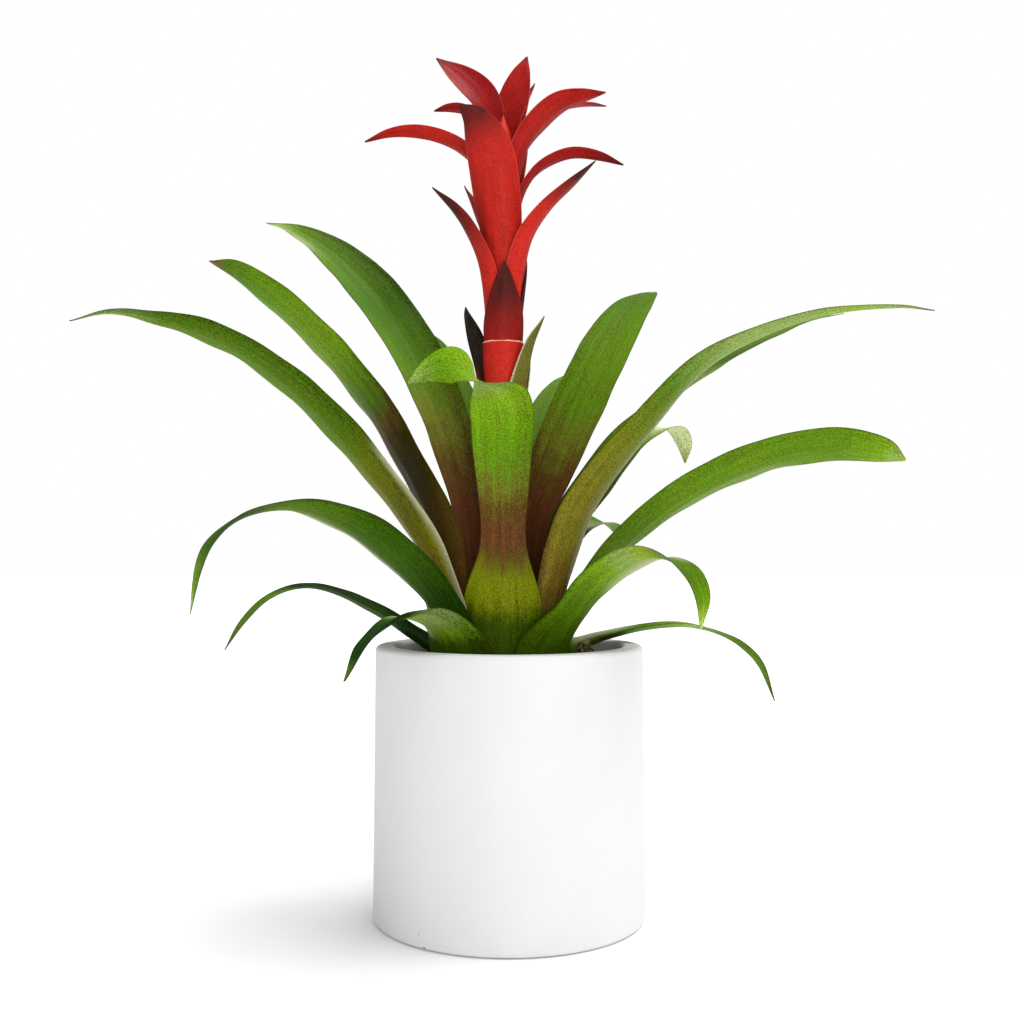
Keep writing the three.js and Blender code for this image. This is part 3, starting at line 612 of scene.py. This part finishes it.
def leaf_finish(name, leaf, offset):
    """A leaf's skin: bands of colour along it with painted light and shade in them, broken by fine veins,
    soft stripes and mottling, with painted shade across the blade and on its margins and a painted highlight
    on one margin where the leaf has one.
    """
    material, tree, shader = new_finish(name, 0.42, 0.025)
    blade = shader_node(tree, "UVMap", uv_map="blade").outputs[0]
    place = shader_node(tree, "TexCoord").outputs["Object"]
    along, across = marked(tree, "along", "across")
    veins = grainy(tree, blade, (1100, 22, 1), 3, offset)
    stripes = grainy(tree, blade, (230, 9, 1), 3, offset + 3)
    mottle = grainy(tree, place, (150, 150, 110), 4, offset)
    grain = grainy(tree, place, (1250, 1250, 1250), 2)
    bend = maths(tree, "MULTIPLY", maths(tree, "MULTIPLY", across, across), -0.02)
    where = varied(tree, maths(tree, "ADD", along, bend), (stripes, 0.07), (mottle, 0.06), (grain, 0.03))
    ramp = shader_node(tree, "ValToRGB", {0: where})
    stops = ramp.color_ramp.elements
    for position, colour in leaf["bands"][1:-1]:
        stops.new(position)
    for stop, (position, colour) in zip(stops, leaf["bands"]):
        stop.position, stop.color = position, srgb(*LEAF_COLOURS[colour])
    # painted shade across the blade: one margin darker and the other lighter
    side_shade = maths(tree, "MULTIPLY_ADD", across, leaf.get("side_shade", 0), 1.0)
    light = varied(tree, side_shade, (stripes, 0.7), (veins, 0.7), (grain, 2.3), (mottle, 0.3))
    hue = varied(tree, 0.5, (mottle, 0.04), (stripes, 0.03))
    skin = toned(tree, ramp.outputs[0], light, hue)
    # painted shade: a thin darker line along both margins
    skin = mixed(tree, near_margin(tree, across, 0.94, 0.5), skin, srgb(40, 56, 8))
    # painted highlight: a pale strip along one margin, faded in and out along the blade
    if "pale" in leaf:
        margin, start, end, amount, inner = leaf["pale"]
        highlight_strip = ramped(tree, maths(tree, "MULTIPLY", across, margin), inner, 1.0)
        for fade_from, fade_to in ((start - 0.08, start), (end + 0.08, end)):
            highlight_strip = maths(tree, "MULTIPLY", highlight_strip, ramped(tree, where, fade_from, fade_to))
        highlight_strip = maths(tree, "MULTIPLY", highlight_strip, varied(tree, amount, (stripes, 0.6)))
        skin = mixed(tree, highlight_strip, skin, srgb(196, 198, 160))
    connect(tree, shader, Base_Color=skin, Roughness=ramped(tree, mottle, 0.2, 0.8, 0.38, 0.52))
    height = maths(tree, "ADD", maths(tree, "MULTIPLY", veins, 0.8), maths(tree, "MULTIPLY", stripes, 0.9))
    bumped(tree, shader, maths(tree, "ADD", height, maths(tree, "MULTIPLY", grain, 0.35)), 0.0003, 0.8)
    return material


for number, (name, leaf) in enumerate(LEAVES.items()):
    leaf_blade = new_blades()
    stations = sheath_stations(leaf["layer"], leaf["half"], leaf["parting"]) + leaf["stations"]
    lay_blade(
        leaf_blade, leaf["azimuth"], stations, LEAF_THICKNESS, LEAF_COLUMNS, LEAF_ROWS, leaf["wave"],
        2.7 * number,
    )
    bmesh.ops.recalc_face_normals(leaf_blade, faces=leaf_blade.faces[:])
    skin = leaf_finish(name + "_skin", leaf, 5.3 * number)
    add_piece(name + "_blade", leaf_blade, skin, "leaf_green", name)

# ---------------------------------------------------------------------------------------------------
# The short stem that everything grows from, hidden by the sheaths: woody, tan and green.
# It stands in the potting mix and ends in a blunt cone inside the rosette.
# ---------------------------------------------------------------------------------------------------
STEM_FOOT = 104.3
STEM_TOP = 152
STEM_TOP_RADIUS = 9


def stem_finish():
    material, tree, shader = new_finish("stem_skin", 0.6, 0.4)
    place = shader_node(tree, "TexCoord").outputs["Object"]
    rings = grainy(tree, place, (60, 60, 700), 4)
    colour = mixed(tree, ramped(tree, rings, 0.35, 0.65), srgb(104, 112, 46), srgb(148, 142, 84))
    connect(tree, shader, Base_Color=colour)
    bumped(tree, shader, rings, 0.0006)
    return material


stem = bmesh.new()
turned(
    stem,
    [(0, STEM_FOOT), (38, STEM_FOOT), (38.6, 111), (STEM_SHOULDER_RADIUS, STEM_SHOULDER_HEIGHT), (24, 135),
     (STEM_TOP_RADIUS, STEM_TOP), (0, STEM_TOP)],
    64,
    PLANT_X,
)
add_piece("short_stem_cone", stem, stem_finish(), "stem_green", "short_stem")

# ---------------------------------------------------------------------------------------------------
# The flower stalk: round and reddish brown, clasped at its top by three narrow bracts, from near-black
# brown to olive. It grows up through the middle of the rosette from the top of the short stem.
# ---------------------------------------------------------------------------------------------------
STALK_RADIUS = 7.5
STALK_FOOT = 152.3
STALK_TOP = 291.7
BRACT_THICKNESS = 0.9
STALK_BRACTS = [
    dict(azimuth=150, tone=-1.0,
         stations=[(7, 252, 20, 0, 75), (11.5, 282, 27, 0, 66), (15, 302, 25, 0, 50), (20, 320, 22, 0, 40),
                   (23, 332, 15, 0, 30), (25, 342.5, 1, 0, 5)]),
    dict(azimuth=340, tone=1.0,
         stations=[(7, 250, 20, 0, 75), (11.4, 282, 26, 0, 66), (14, 303, 21, 0, 45), (18, 320, 13, 0, 30),
                   (24.5, 333.5, 1, 0, 5)]),
    dict(azimuth=40, tone=0.4,
         stations=[(7, 246, 20, 0, 75), (11.4, 276, 24, 0, 60), (14.5, 294, 16, 0, 40),
                   (20, 313, 1, 0, 5)]),
]


def stalk_finish():
    """Near-black brown or olive by the bract, reddish at its foot, with a pale lip along its margin."""
    material, tree, shader = new_finish("stalk_skin", 0.45, 0.06)
    blade = shader_node(tree, "UVMap", uv_map="blade").outputs[0]
    place = shader_node(tree, "TexCoord").outputs["Object"]
    tone, along, across = marked(tree, "tone", "along", "across")
    veins = grainy(tree, blade, (900, 40, 1), 3)
    grain = grainy(tree, place, (1050, 1050, 1050), 2)
    mottle = grainy(tree, place, (200, 200, 120), 4)
    where = varied(tree, ramped(tree, tone, -1, 1), (mottle, 0.35), (grain, 0.4))
    skin = mixed(tree, where, srgb(28, 20, 6), srgb(104, 102, 40))
    skin = mixed(tree, ramped(tree, along, 0.5, 0.25), skin, srgb(112, 44, 24))
    edge = maths(tree, "MULTIPLY", near_margin(tree, across, 0.86), ramped(tree, tone, -0.5, 1))
    skin = mixed(tree, edge, skin, srgb(196, 190, 156))
    skin = toned(tree, skin, varied(tree, 1.0, (veins, 0.5), (grain, 1.6)))
    connect(tree, shader, Base_Color=skin)
    bumped(tree, shader, maths(tree, "ADD", veins, maths(tree, "MULTIPLY", grain, 0.4)), 0.0002)
    return material


stalk = new_blades()
stalk_wall = [(STALK_RADIUS, height) for height in (STALK_FOOT, 200, 250, STALK_TOP)]
turned(stalk, [(0, STALK_FOOT), *stalk_wall, (0, STALK_TOP)], 48, PLANT_X)
for number, bract in enumerate(STALK_BRACTS):
    lay_blade(
        stalk, bract["azimuth"], bract["stations"], BRACT_THICKNESS, 14, 44, 0.3, 3.1 * number, None,
        bract["tone"], 0.2,
    )
bmesh.ops.recalc_face_normals(stalk, faces=stalk.faces[:])
add_piece("flower_stalk_scape", stalk, stalk_finish(), "stalk_olive", "flower_stalk")

# ---------------------------------------------------------------------------------------------------
# The flower head: red bracts in a spiral, each clasping the one above it, waxy and softly glossy.
# The lower ones have maroon-black tips, and a bright red one with a pale lip sheathes the foot.
# ---------------------------------------------------------------------------------------------------
HEAD_LIP = (319.1, 320)
LIP_TONE = 3.0
CORE_TONE = 0.8
# Dark is where on the blade the dark tip starts and is full, and how dark it is; tone runs from crimson, -1,
# to scarlet, 1.
HEAD_BRACTS = [
    # front, low, with a dark tip, and its small dark neighbour on the right, behind
    dict(azimuth=273, dark=(0.0, 0.8, 0.95), tone=-0.2,
         stations=[(9.5, 300, 28, 0, 80), (11, 320, 30, 0, 78), (12.6, 337, 24, 0, 58),
                   (14, 351, 13, 0, 40), (14.5, 363, 1, 0, 5)]),
    dict(azimuth=20, dark=(0.0, 0.2, 1.0), tone=0,
         stations=[(9, 318, 18, 0, 60), (11, 338, 17, 0, 50), (13, 356, 11, 0, 34), (14, 370, 1, 0, 5)]),
    # left, low, brown at the tip, and right, low, dark at the tip
    dict(azimuth=205, dark=(0.28, 0.8, 0.95), tone=0.7,
         stations=[(8.6, 318, 24, 0, 76), (10.5, 345, 22, 0, 60), (14.3, 366, 19, 0, 45),
                   (22.5, 382.5, 15.5, 0, 34), (32, 394, 10, 0, 28), (43, 403, 1, 0, 5)]),
    dict(azimuth=335, dark=(0.55, 0.95, 1.0), tone=0.6,
         stations=[(8.6, 326, 26, 0, 76), (10.5, 352, 25, 0, 62), (15.5, 376, 20.5, 0, 44),
                   (26, 391.5, 17, 0, 30), (40.5, 404, 11.5, 0, 24), (56, 416, 1, 0, 5)]),
    # small and upright on the left, behind
    dict(azimuth=165, dark=(0.7, 1.0, 0.8), tone=-0.4,
         stations=[(8, 348, 22, 0, 62), (11, 378, 21, 0, 50), (15.5, 392, 18, 0, 44),
                   (19.5, 403, 13, 0, 36), (23, 411, 1, 0, 5)]),
    # the long one at the front
    dict(azimuth=262, dark=(0.6, 0.92, 0.95), tone=0.1,
         stations=[(8, 346, 26, 0, 82), (11, 374, 29, 0, 72, -0.5), (14, 396, 31, 0, 60, -1.5),
                   (17, 414, 30, 0, 50, -4), (21, 428, 26, 0, 40, -7), (26, 439, 16, 0, 28, -12),
                   (30, 446, 1, 0, 5, -20)]),
    # long arching ones: left, thin right, upper right and the one behind that
    dict(azimuth=185, dark=(0.85, 1.0, 0.6), tone=0,
         stations=[(7.4, 388, 20, 0, 66), (9.5, 408, 18, 0, 54), (15, 420.5, 14.5, 15, 40),
                   (25, 430.5, 12, 25, 30), (38, 436.5, 10.5, 30, 24), (52, 438.5, 9.5, 30, 20),
                   (65, 437, 6.5, 30, 14), (78, 432, 1, 30, 5)]),
    dict(azimuth=5, dark=(0.7, 1.0, 0.8), tone=-0.5,
         stations=[(7.6, 378, 18, 0, 66), (10, 400, 16, 0, 50), (17, 414.5, 12.5, -10, 38),
                   (27, 423.5, 10.5, -25, 30), (40, 428.5, 9.5, -30, 24), (55, 427.5, 7, -30, 16),
                   (69, 423, 1, -30, 5)]),
    dict(azimuth=345, dark=(0.9, 1.0, 0.5), tone=-0.2,
         stations=[(7, 396, 22, 0, 70), (9, 415, 24, 0, 56), (13.5, 431, 24, -5, 44),
                   (22.5, 443.5, 21.5, -15, 32), (33.5, 452.5, 18, -20, 26), (46, 456, 12, -20, 18),
                   (59, 457, 1, -20, 5)]),
    dict(azimuth=25, dark=(0.7, 1.0, 0.8), tone=-0.4,
         stations=[(6, 420, 14, 0, 60), (16, 442, 14, 0, 34), (30, 455, 13, 0, 24), (44, 461, 10, 0, 18),
                   (56, 464, 7, 0, 12), (67, 465, 1, 0, 5)]),
    # left, small, behind
    dict(azimuth=172, dark=(0.75, 1.0, 0.7), tone=-0.4,
         stations=[(6, 427, 14, 0, 60), (13, 445, 13, 10, 34), (22, 453, 10, 20, 24),
                   (31, 455, 7.5, 20, 16), (40, 454, 1, 20, 5)]),
    # the two that stand up at the top and the one behind them
    dict(azimuth=170, dark=(0.88, 1.0, 0.7), tone=-0.9,
         stations=[(5.6, 408, 22, 0, 66), (7, 430, 26, -5, 50), (10, 448.5, 28, -25, 38),
                   (15.5, 462.5, 26, -45, 28), (25.5, 474, 19, -48, 20), (39, 485, 1, -50, 5)]),
    dict(azimuth=55, dark=(0.9, 1.0, 0.5), tone=-0.4,
         stations=[(5, 412, 20, 0, 66), (6, 434, 22, 0, 50), (9, 452, 22, 10, 36), (13, 467, 18, 20, 24),
                   (18, 480, 11, 20, 16), (24, 491, 1, 20, 5)]),
    dict(azimuth=38, dark=(0.8, 1.0, 0.6), tone=-0.5,
         stations=[(5, 420, 16, 0, 60), (9, 444, 15, 0, 40), (15.5, 460, 11, 0, 24), (23, 473, 1, 0, 5)]),
    # those round the back
    dict(azimuth=95, dark=(0.7, 0.97, 0.9), tone=0.2,
         stations=[(8.4, 340, 24, 0, 74), (11, 368, 24, 0, 60), (17, 393, 20, 0, 44), (27, 411, 16, 0, 30),
                   (41, 424, 1, 0, 5)]),
    dict(azimuth=125, dark=(0.85, 1.0, 0.7), tone=0,
         stations=[(7.4, 388, 22, 0, 70), (10, 411, 21, 0, 54), (16, 431, 18, 0, 38), (26, 444, 12, 0, 26),
                   (37, 452, 1, 0, 5)]),
    dict(azimuth=72, dark=(0.85, 1.0, 0.7), tone=0,
         stations=[(7.8, 372, 22, 0, 70), (10.5, 398, 21, 0, 54), (17, 420, 18, 0, 38),
                   (28, 435, 13, 0, 26), (43, 444, 1, 0, 5)]),
    dict(azimuth=108, dark=(0.9, 1.0, 0.6), tone=-0.2,
         stations=[(5.6, 420, 18, 0, 60), (8, 441, 17, 0, 44), (14, 456, 13, 0, 28), (23, 466, 1, 0, 5)]),
]


def bract_finish():
    """Waxy red, crimson to scarlet by the bract, with a painted highlight as a pale margin and a dark tip
    where it is marked.
    """
    material, tree, shader = new_finish("bract_skin", 0.34, 0.045)
    blade = shader_node(tree, "UVMap", uv_map="blade").outputs[0]
    place = shader_node(tree, "TexCoord").outputs["Object"]
    across, dark, tone = marked(tree, "across", "dark", "tone")
    veins = grainy(tree, blade, (700, 25, 1), 3)
    stripes = grainy(tree, blade, (200, 12, 1), 3, 4)
    grain = grainy(tree, place, (1050, 1050, 1050), 2)
    mottle = grainy(tree, place, (160, 160, 90), 4)
    skin = mixed(tree, ramped(tree, tone, -1, 1), srgb(134, 20, 20), srgb(192, 42, 32))
    skin = toned(tree, skin, varied(tree, 1.0, (stripes, 0.6), (veins, 0.4), (grain, 1.2), (mottle, 0.6)))
    # painted highlight: a pale pink line along each margin
    skin = mixed(tree, near_margin(tree, across, 0.95, 0.3), skin, srgb(226, 112, 92))
    shade = maths(tree, "MULTIPLY", dark, varied(tree, 1.0, (mottle, 0.9), (stripes, 0.7)), clamp=True)
    skin = mixed(tree, shade, skin, srgb(66, 26, 24))
    skin = mixed(tree, ramped(tree, tone, 1.5, 2.5), skin, srgb(240, 176, 156))
    connect(tree, shader, Base_Color=skin, Roughness=ramped(tree, mottle, 0.2, 0.8, 0.3, 0.42))
    height = maths(tree, "ADD", maths(tree, "MULTIPLY", veins, 0.7), maths(tree, "MULTIPLY", grain, 0.4))
    bumped(tree, shader, height, 0.00018, 0.8)
    return material


head = new_blades()
turned(
    head,
    [(0, 292), (9.6, 292), (10.5, 296), (11.1, 302), (11.5, 310), (11.5, 318.9), (11.6, 319.3), (11.4, 319.9),
     (10.4, 320.1), (9.6, 328), (9.4, 350), (8.6, 385), (7.4, 415), (4.6, 438), (0, 450)],
    48,
    PLANT_X,
)
tone_mark = head.verts.layers.float["tone"]
for vert in head.verts:
    vert[tone_mark] = LIP_TONE if HEAD_LIP[0] < vert.co.z / MM < HEAD_LIP[1] else CORE_TONE
for number, bract in enumerate(HEAD_BRACTS):
    lay_blade(
        head, bract["azimuth"], bract["stations"], BRACT_THICKNESS, 16, 60, 0.35, 4.3 * number,
        bract["dark"], bract["tone"], 0.25,
    )
bmesh.ops.recalc_face_normals(head, faces=head.faces[:])
add_piece("flower_head_bracts", head, bract_finish(), "bract_red", "flower_head")

# ---------------------------------------------------------------------------------------------------
# The studio: a pale floor and white surroundings, a soft key high on the right, a broad fill in front,
# and the camera a little below the middle of the plant.
# ---------------------------------------------------------------------------------------------------
FLOOR_HALF_WIDTH = 8
FLOOR_DROP = 0.0002
ROOM_LIGHT = 0.5
CAMERA_PLACE = (0.0015, -0.690, 0.205)
CAMERA_TILT = 91.6


def floor_finish():
    material, tree, shader = new_finish("studio_floor", 0.9, 0.1)
    place = shader_node(tree, "TexCoord").outputs["Object"]
    cloud = grainy(tree, place, (3, 3, 3))
    connect(tree, shader, Base_Color=mixed(tree, cloud, srgb(251, 251, 251), srgb(253, 253, 253)))
    return material


floor_mesh = bmesh.new()
bmesh.ops.create_grid(floor_mesh, x_segments=4, y_segments=4, size=FLOOR_HALF_WIDTH)
bmesh.ops.translate(floor_mesh, verts=floor_mesh.verts[:], vec=(0, 0, -FLOOR_DROP))
mesh = bpy.data.meshes.new("studio_floor")
floor_mesh.to_mesh(mesh)
floor_mesh.free()
mesh.materials.append(floor_finish())
floor = bpy.data.objects.new("studio_floor", mesh)
bpy.context.scene.collection.objects.link(floor)


def add_sun(name, towards, strength, spread):
    lamp = bpy.data.lights.new(name, "SUN")
    lamp.energy, lamp.angle = strength, math.radians(spread)
    sun = bpy.data.objects.new(name, lamp)
    sun.rotation_euler = Vector(towards).to_track_quat("Z", "Y").to_euler()
    bpy.context.scene.collection.objects.link(sun)


add_sun("key", (0.36, 0.18, 1.0), 3.1, 60)
add_sun("fill", (0.24, -1.0, 0.02), 2.1, 50)

scene = bpy.context.scene
world = bpy.data.worlds.new("studio_white")
scene.world = world
world.use_nodes = True
sky = world.node_tree
seen = shader_node(sky, "LightPath").outputs["Is Camera Ray"]
sky.nodes["Background"].inputs["Color"].default_value = (1, 1, 1, 1)
strength = shader_node(sky, "MapRange", {0: seen, 3: ROOM_LIGHT, 4: 1.0}).outputs[0]
sky.links.new(strength, sky.nodes["Background"].inputs["Strength"])

lens = bpy.data.cameras.new("camera")
lens.lens, lens.sensor_width = 43.14, 36
camera = bpy.data.objects.new("camera", lens)
camera.location = CAMERA_PLACE
camera.rotation_euler = (math.radians(CAMERA_TILT), 0, 0)
scene.collection.objects.link(camera)
scene.camera = camera
scene.view_settings.view_transform = "Standard"
